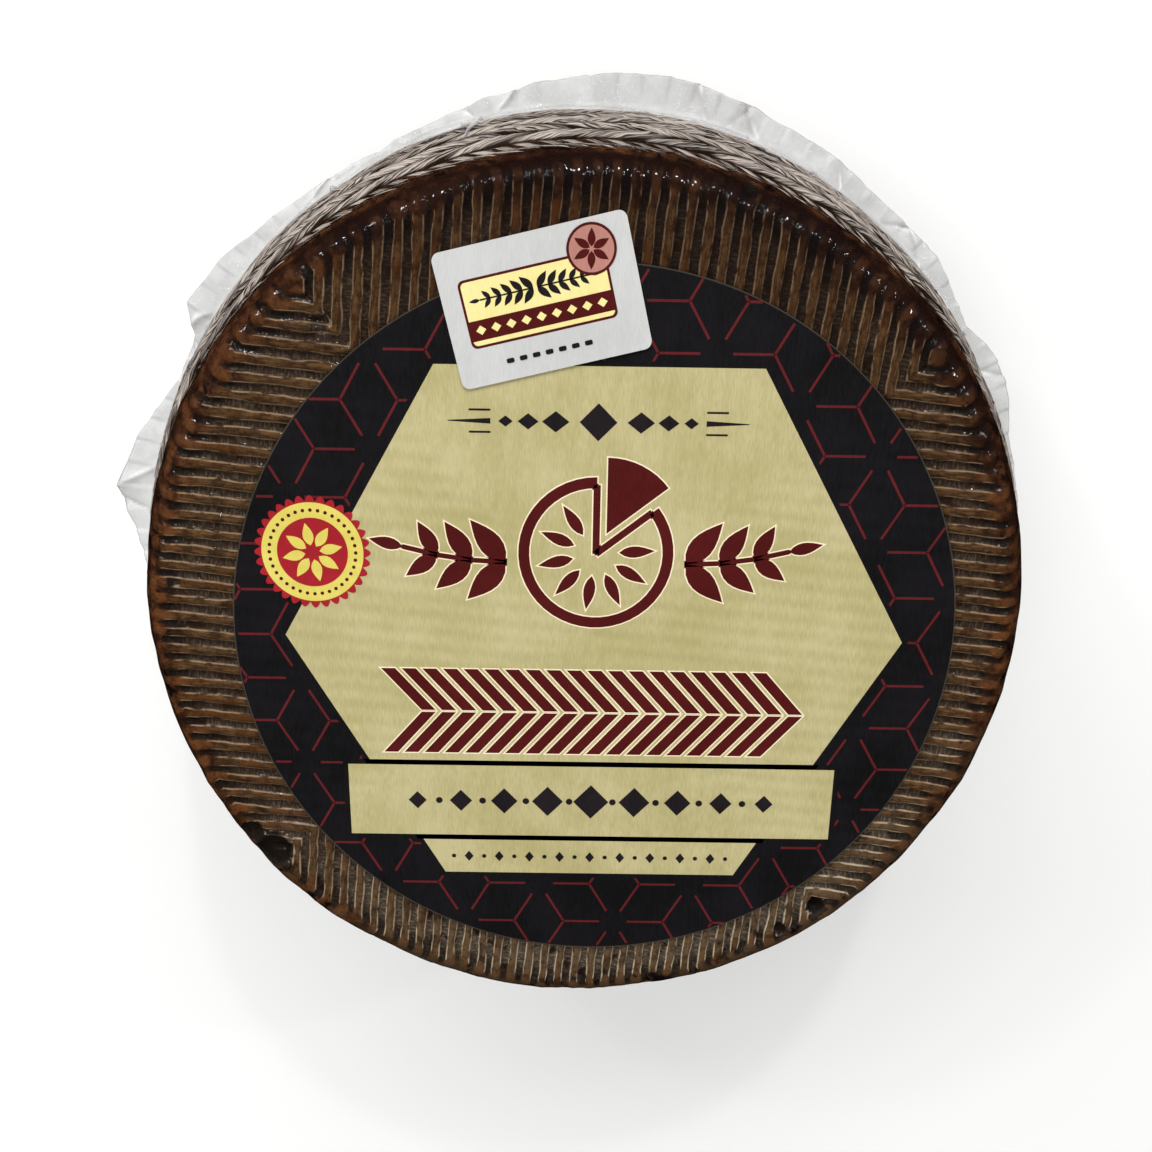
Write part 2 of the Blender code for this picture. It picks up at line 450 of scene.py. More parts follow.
def face_rows(columns, count, level, sign, seed):
    """Rows of the upper face, or with sign -1 of the lower one, from the middle outwards."""
    x, y, reach, along = face_places(columns, count, seed)
    relief, groove, lip = ridge_relief(columns, x, y, reach, seed)
    if sign > 0:
        pit, inside = pit_depth(x, y)
        relief = relief - pit
        # Painted shade inside the holes and dents, carried by the groove field
        groove = np.maximum(groove, inside)
        # A painted glint of the film round the edge of each hole
        lip = np.maximum(lip, np.clip(4 * inside * (1 - inside), 0, 1) ** 2)
    z = level + sign * np.minimum(relief, RELIEF_LIMIT)
    band = -1.0 if sign > 0 else BANDS + 1.0
    return mesh_rows(columns, x, y, z, reach, groove=groove, lip=lip, band=band, along=along)


def side_bands():
    """Drops of the mesh rows down the side, and the place of each counted in bands."""
    height = (HEIGHT - 2 * OUTER_DROP) / MIDDLE_BANDS
    drops = [TIP_DROP + (OUTER_DROP - TIP_DROP) * stop for stop in OUTER_STOPS]
    bands = list(OUTER_STOPS)
    for k, stop in itertools.product(range(MIDDLE_BANDS), MIDDLE_STOPS):
        drops.append(OUTER_DROP + (k + stop) * height)
        bands.append(1 + k + stop)
    for stop in (1.0,) + OUTER_STOPS[::-1]:
        drops.append(HEIGHT - TIP_DROP - (OUTER_DROP - TIP_DROP) * stop)
        bands.append(BANDS - stop)
    return drops, bands


def strand_height(strand, band):
    """Height of the strands in 0..1 along a row, and how far they cover the rim."""
    row = min(max(math.floor(band), 0), BANDS - 1)
    edge = min(band, BANDS - band)
    single = row in (0, BANDS - 1)
    unit = strand if single else strand / STRANDS_TOGETHER + 0.5 * (row % 2)
    across = unit - np.floor(unit)
    cell = np.stack([np.floor(unit), row + 0 * strand], -1).astype(np.int64)
    chance = scatter(cell, STRAND_SEED)
    half = 0.40 * smooth((edge + 0.08 * chance) / 0.45)
    cover = smooth(half * 8)
    if single:
        cover = cover * smooth((half - np.abs(across - 0.5)) / 0.10 + 0.5)
        dome = 0.5 * np.sin(np.pi * across) ** 0.45 * smooth(edge / 0.3) * smooth((1 - edge) / 0.15)
    else:
        dome = 1.1 - np.abs(2 * across - 1) ** 3 - abs(2 * (band - row) - 1) ** 3
        fibres = 1 - 0.35 * np.cos(np.pi * FIBRES_TOGETHER * across) ** 6
        dome = np.clip(dome, 0, 1) ** 0.6 * fibres
    return (0.84 + 0.16 * chance) * dome, cover


def side_rows(columns):
    """Rows over the rims and down the side: the plain profile with the relief along its normal."""
    top_angle = np.arcsin(columns.offset / FACE_RADIUS)
    top_angle = np.where(columns.arm == 0, top_angle, math.pi / 2 - top_angle)
    top_angle = GROOVE_TURN + columns.quarter * math.pi / 2 + top_angle
    side_angle = GROOVE_TURN + columns.strand / (8 * GROOVES) * math.tau
    strand = columns.strand * STRANDS / (8 * GROOVES)

    rim_drops = [RIM_DROP * (1 - math.cos(math.radians(turn))) for turn in RIM_TURNS]
    rim_bands = [(drop - TIP_DROP) / (OUTER_DROP - TIP_DROP) for drop in rim_drops]
    drops, bands = side_bands()
    drops = np.array(rim_drops + drops + [HEIGHT - drop for drop in reversed(rim_drops)])
    bands = rim_bands + bands + [BANDS - band for band in reversed(rim_bands)]
    radii = side_radius(drops)
    slopes = np.gradient(radii, drops)

    rows = []
    for drop, band, radius, slope in zip(drops, bands, radii, slopes):
        near = min(drop, HEIGHT - drop)
        share = smooth(near / SIDE_BLEND)
        lean = STRAND_RUN * (1 - abs(min(max(band, 0), BANDS) % 2 - 1))
        angle = top_angle * (1 - share) + side_angle * share + lean
        x, y = np.cos(angle) * radius, np.sin(angle) * radius
        reach = FACE_RADIUS + math.hypot(radius - FACE_RADIUS, near)
        seed = UPPER_SEED if drop < HEIGHT / 2 else LOWER_SEED
        relief, groove, lip = ridge_relief(columns, x, y, reach, seed)
        pit, inside = pit_depth(x, y)
        upper_rim = smooth((PIT_END - drop) / PIT_FADE)
        relief = relief - pit * upper_rim
        # Painted shade inside the holes and dents that reach the rim, carried by the groove field
        groove = np.maximum(groove, inside * upper_rim)

        key = np.stack([x, y, drop + 0 * angle], -1)
        shape, cover = strand_height(strand + 0.15 * noise(key, SWAY_LUMP, SWAY_SEED), band)
        relief = relief * (1 - cover) + (STRAND_RELIEF * shape - STRAND_RECESS) * cover
        out = (relief + lumps(key, SIDE_LUMPS, SIDE_SEED)) / math.hypot(slope, 1)
        rows.append(mesh_rows(
            columns, x + np.cos(angle) * out, y + np.sin(angle) * out, HEIGHT - drop + slope * out,
            reach, groove=groove * (1 - cover), lip=lip * (1 - cover), band=band, along=reach,
        ))
    return rows


def make_wheel(material):
    columns = wheel_columns()
    upper = face_rows(columns, UPPER_ROWS, UPPER_LEVEL, 1, UPPER_SEED)
    lower = face_rows(columns, LOWER_ROWS, LOWER_LEVEL, -1, LOWER_SEED)
    lower = {name: values[::-1] for name, values in lower.items()}
    batches = [upper] + side_rows(columns) + [lower]
    fields = {name: np.concatenate([batch[name] for batch in batches]) for name in upper}

    index = np.arange(fields["x"].size).reshape(fields["x"].shape)
    after = np.roll(index, -1, axis=1)
    quads = np.stack([index[:-1], index[1:], after[1:], after[:-1]], -1).reshape(-1, 4)
    # The first and last rows hold the corners of the L shapes, which two arms share
    points = np.stack([fields[axis].ravel() for axis in "xyz"], -1)
    _, first, shared = np.unique(np.round(points, 7), axis=0, return_index=True, return_inverse=True)
    faces = []
    for corners in shared.reshape(-1)[quads].tolist():
        ring = [corner for k, corner in enumerate(corners) if corner != corners[k - 1]]
        if len(set(ring)) == len(ring) > 2:
            faces.append(ring)

    wheel = mesh_object("cheese", points[first], faces, material)
    fields = {name: values.ravel()[first] for name, values in fields.items()}
    for name in RIND_FIELDS:
        store(wheel.data, name, fields[name])
    along = fields["along"]
    store(wheel.data, "ridge_grain", np.stack([fields["across"], along * 0.16, along * 0], -1))
    wheel.data.shade_smooth()
    place(wheel, "rind", "cheese_wheel")


def weave_pattern(where, band):
    """Where strands cover the rim, how bright each fibre of them is, and how raised.

    The brightness holds painted shade in the gaps and along each bundle's lower edge, and a painted
    sheen along each fibre.
    """
    x, y = split(where)
    lean = calc("PINGPONG", calc("MAXIMUM", band, 0.0), 1.0) * (STRAND_RUN * STRANDS / math.tau)
    strand = (calc("ARCTAN2", y, x) - GROOVE_TURN) * (STRANDS / math.tau) - lean
    strand = strand + (grain(where, 14 * MM, 1) - 0.5) * 0.5
    row = calc("FLOOR", band)
    odd = calc("FLOORED_MODULO", row, 2.0)
    edge = calc("MINIMUM", band, BANDS - band)
    inner = calc("GREATER_THAN", edge, 1.0)
    outer = 1.0 - inner
    unit = (calc("DIVIDE", strand, STRANDS_TOGETHER) + odd * 0.5) * inner + strand * outer
    inside = calc("FRACT", unit) - 0.5
    middle = abs(inside)
    chance = pick(unit, row)
    # Points of the outer strands
    half = ramp(edge + (chance - 0.5) * 0.16, 0.0, 0.45) * 0.36
    half = calc("MAXIMUM", half, inner * 0.6)
    cover = ramp(half - middle, 0.0, 0.06)
    # Painted shade in the gaps round each bundle, or between the single strands of the outer bands
    share = calc("FRACT", band) - 0.5
    corner = calc("POWER", middle * 2.0, 3.0) + calc("POWER", abs(share) * 2.0, 3.0)
    bundle = ramp(1.02 - corner, 0.0, 0.75)
    # Painted shade along each bundle's lower edge, which is its left or right edge by turns
    under = ramp(inside * (odd * 2.8 - 1.4) + share, -0.1, 0.9)
    bundle = bundle * (1.0 - under * 0.65)
    single = ramp(half - middle, 0.0, 0.14) * ramp(1.0 - edge, 0.0, 0.2)
    solid = bundle * inner + single * outer
    # Fibres along each strand, with finer ones in them, each paler along its middle with a painted sheen
    # and darker at its edges with painted shade
    waver = grain(where, 3 * MM, 1) - 0.5
    fibre = unit * (inner * (FIBRES_TOGETHER - 1.0) + 1.0) + waver * 0.9
    line = ramp(0.5 - abs(calc("FRACT", fibre) - 0.5), 0.0, 0.20)
    hair = abs(calc("FRACT", strand * 4.5 + waver * 1.5) - 0.5)
    bright = (pick(fibre, row) * 0.6 + 0.5) * (line * 0.85 + 0.15) * (1.15 - hair * 1.5)
    return cover, bright * (chance * 0.3 + 0.7) * solid, (line - hair * 0.8) * solid


def rind_material():
    """Brown rind under film that hugs it: the film is the clear coat."""
    material, shader, where = new_material("rind_under_film")
    tree = where.tree
    groove, lip, rim, band, crest = (stored(tree, name) for name in RIND_FIELDS)
    ridge_grain = stored(tree, "ridge_grain", "Vector")
    cover, bright, raised = weave_pattern(where, band)

    patches = grain(where, 16 * MM, 4)
    spots = grain(where, 3.2 * MM, 4, 0.6)
    specks = grain(where, 0.7 * MM, 2)
    streaks = grain(ridge_grain, 0.55 * MM, 3)
    ticks = grain(stretch(ridge_grain, (0.3, 6.25, 1.0)), 0.45 * MM, 2)

    # The wheel is darkest towards the top of the label and palest towards its foot
    x, y = split(where)
    uneven = x * 0.2 + (patches - 0.5) * 0.12
    smoke = ramp(y + uneven, 20 * MM, 95 * MM) * ramp(rim, 0.86, 0.72)
    frost = ramp(uneven - y, 30 * MM, 80 * MM)

    # Ridges of the faces, then the rim: brown, red-brown and near-black
    ridge = mix(ramp(streaks, 0.36, 0.66), "3a2918", "5c4127")
    ridge = mix(ramp(patches, 0.52, 0.66), ridge, "4e2e15")
    ridge = mix(frost * 0.4, ridge, "6b5a45")
    ridge = mix(ramp(spots, 0.52, 0.68) * 0.6, ridge, "2a1a0f")
    dark = mix(ramp(grain(where, 5 * MM, 5, 0.65), 0.44, 0.64), "2e190e", "5c351a")
    dark = mix(smoke * 0.9, dark, "190c08")
    dark = mix(frost * 0.75, dark, "4c3b28")
    black = ramp(grain(where, 4.5 * MM, 4, 0.6, 0.6), 0.53, 0.66)
    dark = mix(black, dark, "100a09")
    ridge = mix(black * 0.55, ridge, "1c120b")
    top = mix(ramp(rim + (spots - 0.5) * 0.6, 0.28, 0.58), ridge, dark)
    top = mix(smoke * 0.42, top, "2c1308")
    top = mix(smoke * ramp(rim, 0.22, 0.46) * 0.75, top, "150b0a")

    # Where the ridges end: lighter brown lumps, and painted blue-black shade in the hollows between them
    lump = ramp(rim, 0.34, 0.46) * ramp(rim, 0.76, 0.60) * ramp(crest, 0.30, 0.75)
    lump = lump * ramp(grain(where, 4 * MM, 3), 0.42, 0.60)
    top = mix(lump * (0.55 - smoke * 0.38) * (1.0 - frost * 0.6), top, "6a4224")
    hollow_shade = ramp(rim, 0.28, 0.42) * ramp(rim, 0.66, 0.54) * ramp(crest, 0.50, 0.12)
    top = mix(hollow_shade * ramp(patches, 0.36, 0.52) * 0.85, top, "0c0b0d")

    # Grooves: dark and mottled, paler towards the foot of the label, with paler ticks that are a
    # painted sheen of the film's wrinkles, and broken outlines that are painted glints of the film
    floor = mix(frost, "32261c", "493e32")
    # Paler ticks across the groove floors: a painted sheen of the film's wrinkles
    floor = mix(ramp(ticks, 0.46, 0.64), floor, mix(frost, "4c4034", "6e6356"))
    floor = mix(ramp(spots, 0.54, 0.66), floor, "2a1c12")
    floor = mix(smoke * 0.8, floor, "160d0a")
    floor = mix(ramp(rim, 0.26, 0.46) * 0.75, floor, "0f0c0c")
    body = mix(ramp(groove, 0.28, 0.66), top, floor)
    # Painted glints of the film along the grooves' outlines, greyer towards the foot and fewer towards
    # the top
    line = ramp(lip, 0.45, 0.9) * ramp(streaks, 0.38, 0.52) * (0.85 - smoke * 0.5)
    body = mix(line, body, mix(frost, "8e775e", "bba98f"))
    # Painted shade deep inside the holes and dents
    body = mix(ramp(groove, 1.0, 1.9), body, "17110d")
    body = mix(ramp(specks, 0.52, 0.68) * 0.38, body, "150d08")

    # Side: grey-brown strands, pale partly in their own colour and partly with a painted sheen of the
    # film, with painted shade in the gaps
    strands = mix(ramp(bright, 0.02, 0.70), "20150f", "cfc2b7")
    strands = mix(ramp(patches, 0.50, 0.68) * 0.3, strands, "3a281c")
    height = streaks * 0.6 + specks * 0.4 + raised * cover * 1.6
    set_shader(
        shader, Base_Color=mix(cover, body, strands), Roughness=spots * 0.3 + 0.36, IOR=1.45,
        Specular_IOR_Level=0.12, Normal=bump(height, 0.35 * MM, 0.8),
    )

    # The film over it, pulled into fine creases
    creases = grain(where, 2.6 * MM, 3, 0.5, 1.2) + ticks * groove * 0.5
    set_shader(
        shader, Coat_Weight=1.0, Coat_Roughness=0.07, Coat_IOR=1.5,
        Coat_Normal=bump(creases, 0.30 * MM, 0.6),
    )
    return material


# Film: a welded flange of two sheets round the belly, with folds that run on over the side

FILM_COLUMNS = 1500
FILM_LEVEL = HEIGHT / 2
FLANGE_START = side_radius(FILM_LEVEL) + 1.5 * MM
SHEET_GAP = 0.10 * MM
OUTER_EDGE_STEP = 1.2 * MM
# Ragged edge and ripples: height, and size on a circle of this radius, nearly millimetres
CIRCLE_RADIUS = 100
RAGGED = ((0.12 * MM, 1.3), (0.45 * MM, 5.5))
RIPPLES = ((0.45 * MM, 5.0), (0.10 * MM, 1.5))
FILM_SEED = 81
# Rows of each sheet: height off the weld and distance out from the side in millimetres, the
# height at which the ripples would end, and shares of the way across the flange
COLLAR_ROWS = ((4.2, 0.10), (3.0, 0.55), (1.8, 0.85), (0.9, 1.05), (0.35, 1.25))
COLLAR_CALM = 6.6
FLANGE_ROWS = (0.08, 0.18, 0.29, 0.40, 0.51, 0.62, 0.73, 0.84, 0.93, 1.0)
# Bunched places of the film: bearing and spread in degrees, height in millimetres, and slant
# across the flange in degrees
PLEATS = (
    (69, 0.9, 1.6, 3.0), (73, 0.6, -1.0, -2.0), (76, 0.8, 1.3, 1.5), (101.5, 0.8, 1.4, -2.5),
    (104.5, 0.6, -1.0, 1.0), (43, 1.2, 1.5, 4.0), (50, 0.8, -1.1, -3.0), (57, 0.6, 0.9, 2.0),
    (127, 0.8, 1.2, -3.0), (146, 1.1, 1.6, 3.0), (152, 0.7, -1.2, -1.5), (167, 1.2, 1.6, 4.0),
    (175, 0.8, -1.4, -2.0), (11, 1.1, 1.3, 3.0), (27, 0.7, -1.2, -2.0), (196, 1.0, 1.3, 2.5),
    (219, 1.3, -1.4, -3.0), (241, 0.8, 1.3, 2.0), (268, 1.2, -1.2, -2.0), (276, 0.7, 1.5, 3.0),
    (303, 1.2, 1.3, -3.0), (311, 0.6, -1.4, 2.0), (341, 1.2, 1.2, -3.0),
)
# Folds over the upper side: bearing and drift in degrees, length in millimetres. The lower side
# has the same ones a little further round.
FOLDS = (
    (103.5, 1.6, 24), (106, -2.5, 9), (124, -1.8, 16), (128, 2.5, 10), (146.5, 1.4, 20),
    (61, 1.8, 14), (70, -2.0, 9), (33, 2.0, 16), (39, -2.2, 8), (352, -1.8, 18), (7, 2.2, 9),
    (191, 1.7, 18), (199, -2.4, 9), (233, -1.9, 14), (275, 1.6, 18), (281, 2.4, 8),
    (318, -1.7, 15), (169, 2.2, 10),
)
FOLD_SHIFT = 7
FOLD_START = 3 * MM
FOLD_LIFT = 0.5 * MM
FOLD_STEPS = 14
FOLD_WIDTH = 0.95 * MM
FOLD_HEIGHT = 0.8 * MM
FOLD_SECTION = ((-1.0, -0.5), (-0.35, 0.55), (0.0, 1.0), (0.4, 0.5), (1.0, -0.5))


def film_edge(bearings):
    """Radius and height of the film's edge at each bearing, read from the solid."""
    spots = np.array([vertex.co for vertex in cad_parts["film_skirt"].data.vertices])
    reach = np.hypot(spots[:, 0], spots[:, 1])
    outer = reach > reach.min() + OUTER_EDGE_STEP
    turn = np.mod(np.arctan2(spots[outer, 1], spots[outer, 0]), math.tau)
    order = np.argsort(turn)
    return [
        np.interp(bearings, turn[order], values[order], period=math.tau)
        for values in (reach[outer], spots[outer, 2])
    ]


def pleat_height(bearings, share):
    """Height of the bunched places at a share of the flange, and how strong the painted white glint
    along the film's folds is there.
    """
    degrees = np.degrees(bearings)
    height = np.zeros_like(bearings)
    crease_glint = np.zeros_like(bearings)
    for bearing, spread, tall, slant in PLEATS:
        away = np.abs((degrees - bearing - slant * share + 180) % 360 - 180) / spread
        height += tall * MM * np.exp(-1.6 * away)
        strength = 0.62 + 0.38 * math.sin(2.1 * bearing + 5 * share)
        crease_glint = np.maximum(crease_glint, strength * np.exp(-2.2 * away))
    return height, crease_glint


def sheet_rows(bearings, sign):
    """Radius, height and painted glint along the folds round each row of one sheet, from its collar to
    the edge.
    """
    x, y = np.cos(bearings) * CIRCLE_RADIUS, np.sin(bearings) * CIRCLE_RADIUS
    circle = np.stack([x, y], -1)
    edge, level = film_edge(bearings)
    edge = edge + lumps(circle, RAGGED, FILM_SEED)
    ripple = lumps(circle, RIPPLES, FILM_SEED + 2)
    pull = 1 + 0.35 * noise(circle, 6, FILM_SEED + 4 + sign)

    rows = []
    pleats, crease_glint = pleat_height(bearings, 0.0)
    for lift, out in COLLAR_ROWS:
        near = side_radius(FILM_LEVEL - lift * MM if lift > 2 else FILM_LEVEL)
        fold = (0.35 * ripple + 0.25 * pleats) * (1 - lift / COLLAR_CALM)
        height = FILM_LEVEL + sign * lift * MM * pull + fold
        rows.append((near + out * MM * pull, height, crease_glint - 0.7 * min(lift, 1)))
    for share in FLANGE_ROWS:
        pleats, crease_glint = pleat_height(bearings, share)
        key = np.stack([x, y, 0 * x + share * 4], -1)
        wave = (level - FILM_LEVEL) * share + pleats * (0.4 + 0.6 * share)
        wave = wave + 0.6 * ripple + 0.22 * MM * noise(key, 3.0, FILM_SEED + 6)
        height = FILM_LEVEL + wave + sign * SHEET_GAP * (1 - share ** 6)
        radius = FLANGE_START + (edge - FLANGE_START) * share
        rows.append((radius, height, crease_glint - 0.45 * (share > 0.95)))
    return rows


def add_fold(points, faces, marks, bearing, drift, tall, sign):
    """One narrow fold of film that tapers away from the flange, up or down the side."""
    wide = len(FOLD_SECTION)
    rings = []
    for k in range(FOLD_STEPS + 1):
        share = k / FOLD_STEPS
        rise = FOLD_START + tall * MM * share
        slim = 0.08 + 0.92 * (1 - share) ** 0.8
        radius = side_radius(HEIGHT / 2 - rise) + FOLD_LIFT
        wiggle = 0.4 * math.sin(5 * share + bearing) + 0.2 * math.sin(13 * share + 2 * bearing)
        turn = math.radians(bearing + drift * share + wiggle * 0.5)
        rings.append(range(len(points), len(points) + wide))
        for across, lift in FOLD_SECTION:
            angle = turn + across * FOLD_WIDTH * slim / radius
            out = radius + lift * FOLD_HEIGHT * slim
            points.append((out * math.cos(angle), out * math.sin(angle), HEIGHT / 2 + sign * rise))
            # A painted white glint along the middle of the fold, fainter towards its tip
            marks.append(0.3 + 0.6 * slim if abs(across) < 0.2 else -0.1)
    outlines = [rings[0][::-1], rings[-1]]
    for near, far in zip(rings, rings[1:]):
        for j in range(wide):
            after = (j + 1) % wide
            outlines.append((near[j], near[after], far[after], far[j]))
    faces += [tuple(outline if sign < 0 else outline[::-1]) for outline in outlines]


def make_film(material):
    bearings = np.arange(FILM_COLUMNS) * math.tau / FILM_COLUMNS
    # Out along the upper sheet and back along the lower one, which share their edge
    rows = sheet_rows(bearings, 1) + sheet_rows(bearings, -1)[-2::-1]
    radius, height, marks = np.array(rows).transpose(1, 0, 2)
    points = np.stack([np.cos(bearings) * radius, np.sin(bearings) * radius, height], -1)
    index = np.arange(radius.size).reshape(radius.shape)
    after = np.roll(index, -1, axis=1)
    below, below_after = np.roll(index, -1, axis=0), np.roll(after, -1, axis=0)
    faces = np.stack([index, below, below_after, after], -1).reshape(-1, 4).tolist()
    points, marks = points.reshape(-1, 3).tolist(), marks.ravel().tolist()
    for sign, shift in ((1, 0), (-1, FOLD_SHIFT)):
        for bearing, drift, tall in FOLDS:
            add_fold(points, faces, marks, bearing + shift, drift, tall, sign)
    film = mesh_object("film_wrap", points, faces, material)
    store(film.data, "crease_glint", np.array(marks))
    film.data.shade_smooth()
    place(film, "film", "film_skirt")


def film_material():
    """Clear film that is milky where it is loose, with painted white glints along its creases and in
    crumpled spots.
    """
    material, shader, where = new_material("clear_film")
    cloud = grain(where, 9 * MM, 4)
    fine = grain(where, 1.4 * MM, 4, 0.6, 1.5)
    # Painted white glints in crumpled spots of the film
    crumple_glint = ramp(grain(where, 6 * MM, 2), 0.52, 0.62)
    crumple_glint = crumple_glint * ramp(grain(where, 1.1 * MM, 3, 0.5, 2.5), 0.58, 0.70)
    crease_glint = calc("MAXIMUM", stored(where.tree, "crease_glint"), crumple_glint * 0.6)
    white = mix(ramp(cloud, 0.35, 0.65), "c9c9c8", "dededd")
    alpha = cloud * 0.14 + ramp(fine, 0.58, 0.72) * 0.10 + 0.46
    set_shader(
        shader, Base_Color=mix(ramp(crease_glint, 0.15, 0.8), white, "f6f6f5"),
        Alpha=calc("MULTIPLY_ADD", crease_glint, 0.55, alpha, clamp=True),
        Roughness=0.16, IOR=1.5, Normal=bump(fine + cloud, 0.3 * MM, 0.5),
    )
    return material


# Labels: printed fields and ornaments are thin plates of ink on the paper

INK = 0.035 * MM
LABEL_MARGIN = 0.25 * MM
HEXAGON_SIDE = 65.15 * MM
HEXAGON_TOP = HEXAGON_SIDE * math.sqrt(3) / 2
STRIP_HALF = (53.4 * MM, 8.55 * MM)
STRIP_LEVEL = -38.4 * MM
STRIP_PITCH = 9.6 * MM
FOOT_PITCH = 3.4 * MM
PANEL_GAP = 1.2 * MM
PANEL_OUTLINE = 1.1 * MM
STRIP_OUTLINE = 1.2 * MM
ORNAMENT_OUTLINE = 0.28 * MM
LATTICE_EDGE = 11.38 * MM
LATTICE_ARM = 8.2 * MM
LATTICE_WIDTH = 0.52 * MM
EMBLEM_PLACE = (0.0, 18.5 * MM)
EMBLEM_RADIUS = 16.0 * MM
EMBLEM_GAP = math.radians(52)
EMBLEM_OPENING = math.radians(64)
SEAL_PLACE = (-58.4 * MM, 18.0 * MM)
SEAL_RADIUS = 12.0 * MM
SEAL_FIELD = 10.5 * MM
SEAL_BEADS = 8.9 * MM
SEAL_DISC = 7.3 * MM
# Sprigs: start, bend, pairs of leaves and length of the first leaf
LABEL_SPRIG = ((18.6 * MM, 16.5 * MM), 3.0 * MM, 3, 11.4 * MM)
TAG_SPRIG = ((0.4 * MM, 2.9 * MM), 0.0, 5, 3.4 * MM)
# Plait and rule: level and half width, then the plait's height
PLAIT = (-27.0 * MM, 44 * MM, 20.0 * MM)
RULE = (45.5 * MM, 30 * MM)
# Sheet, frame and field of the small label: width, height and corner radius
TAG_SHEET = (38.0 * MM, 26.1 * MM, 1.6 * MM)
TAG_FRAME = (29 * MM, 13 * MM, 1.2 * MM)
TAG_FIELD = (28 * MM, 12 * MM, 0.9 * MM)
TAG_FRAME_PLACE = (-0.8 * MM, 0.6 * MM)
TAG_BAND_HALF = (14 * MM, 1.9 * MM)
TAG_BAND_PLACE = (-0.8 * MM, -2.6 * MM)
TAG_ROUND_PLACE = (11.2 * MM, 7.4 * MM)
TAG_ROUND_RADIUS = 4.8 * MM
TAG_ROUND_FIELD = 4.3 * MM

ROUND_LABEL = SimpleNamespace(box=LABEL_BOX, turn=0.0, slot="label", node="round_label")
CONTROL_LABEL = SimpleNamespace(
    box=TAG_BOX, turn=math.radians(13.4), slot="tag", node="control_label",
)

# Papers and inks: two close colours, roughness, and how far the ridges below press through
PAPERS = {
    "label_black": ("100f10", "171518", 0.42, 0.5),
    "label_red_line": ("551619", "5f1a1e", 0.42, 0.5),
    "label_cream": ("a79e6c", "bab083", 0.40, 0.9),
    "label_pale": ("ead9b4", "efe2c4", 0.40, 0.5),
    "label_wine": ("470c0b", "52100f", 0.38, 0.5),
    "label_soot": ("1a1518", "241d20", 0.40, 0.5),
    "label_edge": ("37322a", "413b32", 0.42, 0.5),
    "seal_crimson": ("96141f", "a21a26", 0.34, 0.6),
    "seal_yellow": ("cfbf55", "d8ca66", 0.34, 0.6),
    "tag_white": ("babab8", "c4c4c2", 0.30, 0.5),
    "tag_rose": ("a87468", "b27e72", 0.36, 0.5),
    "tag_gold": ("e2d489", "e9dd9c", 0.36, 0.5),
}


def paper_material(name, tint, streak, roughness, press):
    """Satin paper or ink with fine fibres, and the ridges below pressing faintly through."""
    _, shader, where = new_material(name)
    fibres = grain(stretch(where, (1.0, 0.12, 1.0)), 0.25 * MM, 3)
    cloud = grain(where, 14 * MM, 3)
    turned = {"Vector": where, "Rotation": (0.0, 0.0, -GROOVE_TURN)}
    x, y = split(add(where.tree, "Mapping", turned))
    wave = calc("COSINE", calc("MINIMUM", abs(x), abs(y)) * (math.tau / PITCH))
    set_shader(
        shader, Base_Color=mix(ramp(fibres * 0.5 + cloud * 0.5, 0.35, 0.65), tint, streak),
        Specular_IOR_Level=0.35, Roughness=fibres * 0.12 + roughness,
        Normal=bump(wave * press + fibres * 0.25 + cloud * 1.5, 0.06 * MM),
    )


def polar(radius, turn, centre=(0.0, 0.0)):
    return centre[0] + radius * math.cos(turn), centre[1] + radius * math.sin(turn)


def moved(points, place_at, turn=0.0):
    c, s = math.cos(turn), math.sin(turn)
    return [(place_at[0] + x * c - y * s, place_at[1] + x * s + y * c) for x, y in points]


def mirrored(points):
    return [(-x, y) for x, y in reversed(points)]


def outset(points, distance):
    """The outline moved outwards."""
    grown = []
    for k, point in enumerate(points):
        before, here, after = Vector(points[k - 1]), Vector(point), Vector(points[(k + 1) % len(points)])
        first, second = (here - before).normalized(), (after - here).normalized()
        normal = Vector((first.y + second.y, -first.x - second.x))
        reach = distance / max(0.35, normal.length / 2)
        grown.append(tuple(here + normal.normalized() * reach))
    return grown


def disc(radius, count, centre=(0.0, 0.0)):
    return [polar(radius, math.tau * k / count, centre) for k in range(count)]


def lobed(radius, depth, lobes, centre, steps):
    """A disc with a scalloped edge."""
    turns = [math.tau * k / (lobes * steps) for k in range(lobes * steps)]
    return [polar(radius - depth * (1 - abs(math.cos(lobes * t / 2))), t, centre) for t in turns]


def box(left, right, low, high):
    return [(left, low), (right, low), (right, high), (left, high)]


def rounded_box(width, height, corner, steps=5):
    points = []
    for quarter, (sx, sy) in enumerate(((1, 1), (-1, 1), (-1, -1), (1, -1))):
        centre = (sx * (width / 2 - corner), sy * (height / 2 - corner))
        points += [polar(corner, math.pi / 2 * (quarter + k / steps), centre) for k in range(steps + 1)]
    return points


def lozenge(width, height):
    return [(width / 2, 0), (0, height / 2), (-width / 2, 0), (0, -height / 2)]


def bar(start, end, width):
    way = Vector((end[0] - start[0], end[1] - start[1]))
    return moved(box(0.0, way.length, -width / 2, width / 2), start, math.atan2(way.y, way.x))


def leaf(length, width, steps=7):
    """A pointed leaf from the origin along +X."""
    shares = [k / steps for k in range(steps + 1)]
    upper = [(length * share, width / 2 * math.sin(math.pi * share ** 0.8)) for share in shares]
    return upper[:0:-1] + [(0.0, 0.0)] + [(x, -y) for x, y in upper[1:-1]]


def ring_of(shape, count, radius, centre, start):
    """Copies of a shape round a centre, each turned outwards."""
    turns = [start + math.tau * k / count for k in range(count)]
    return [moved(shape, polar(radius, turn, centre), turn) for turn in turns]


def hexagon_part(low, high):
    """The part of the hexagon between two heights."""
    levels = (low, 0.0, high) if low < 0 < high else (low, high)
    side = [(HEXAGON_SIDE - abs(level) / math.sqrt(3), level) for level in levels]
    return side + mirrored(side)


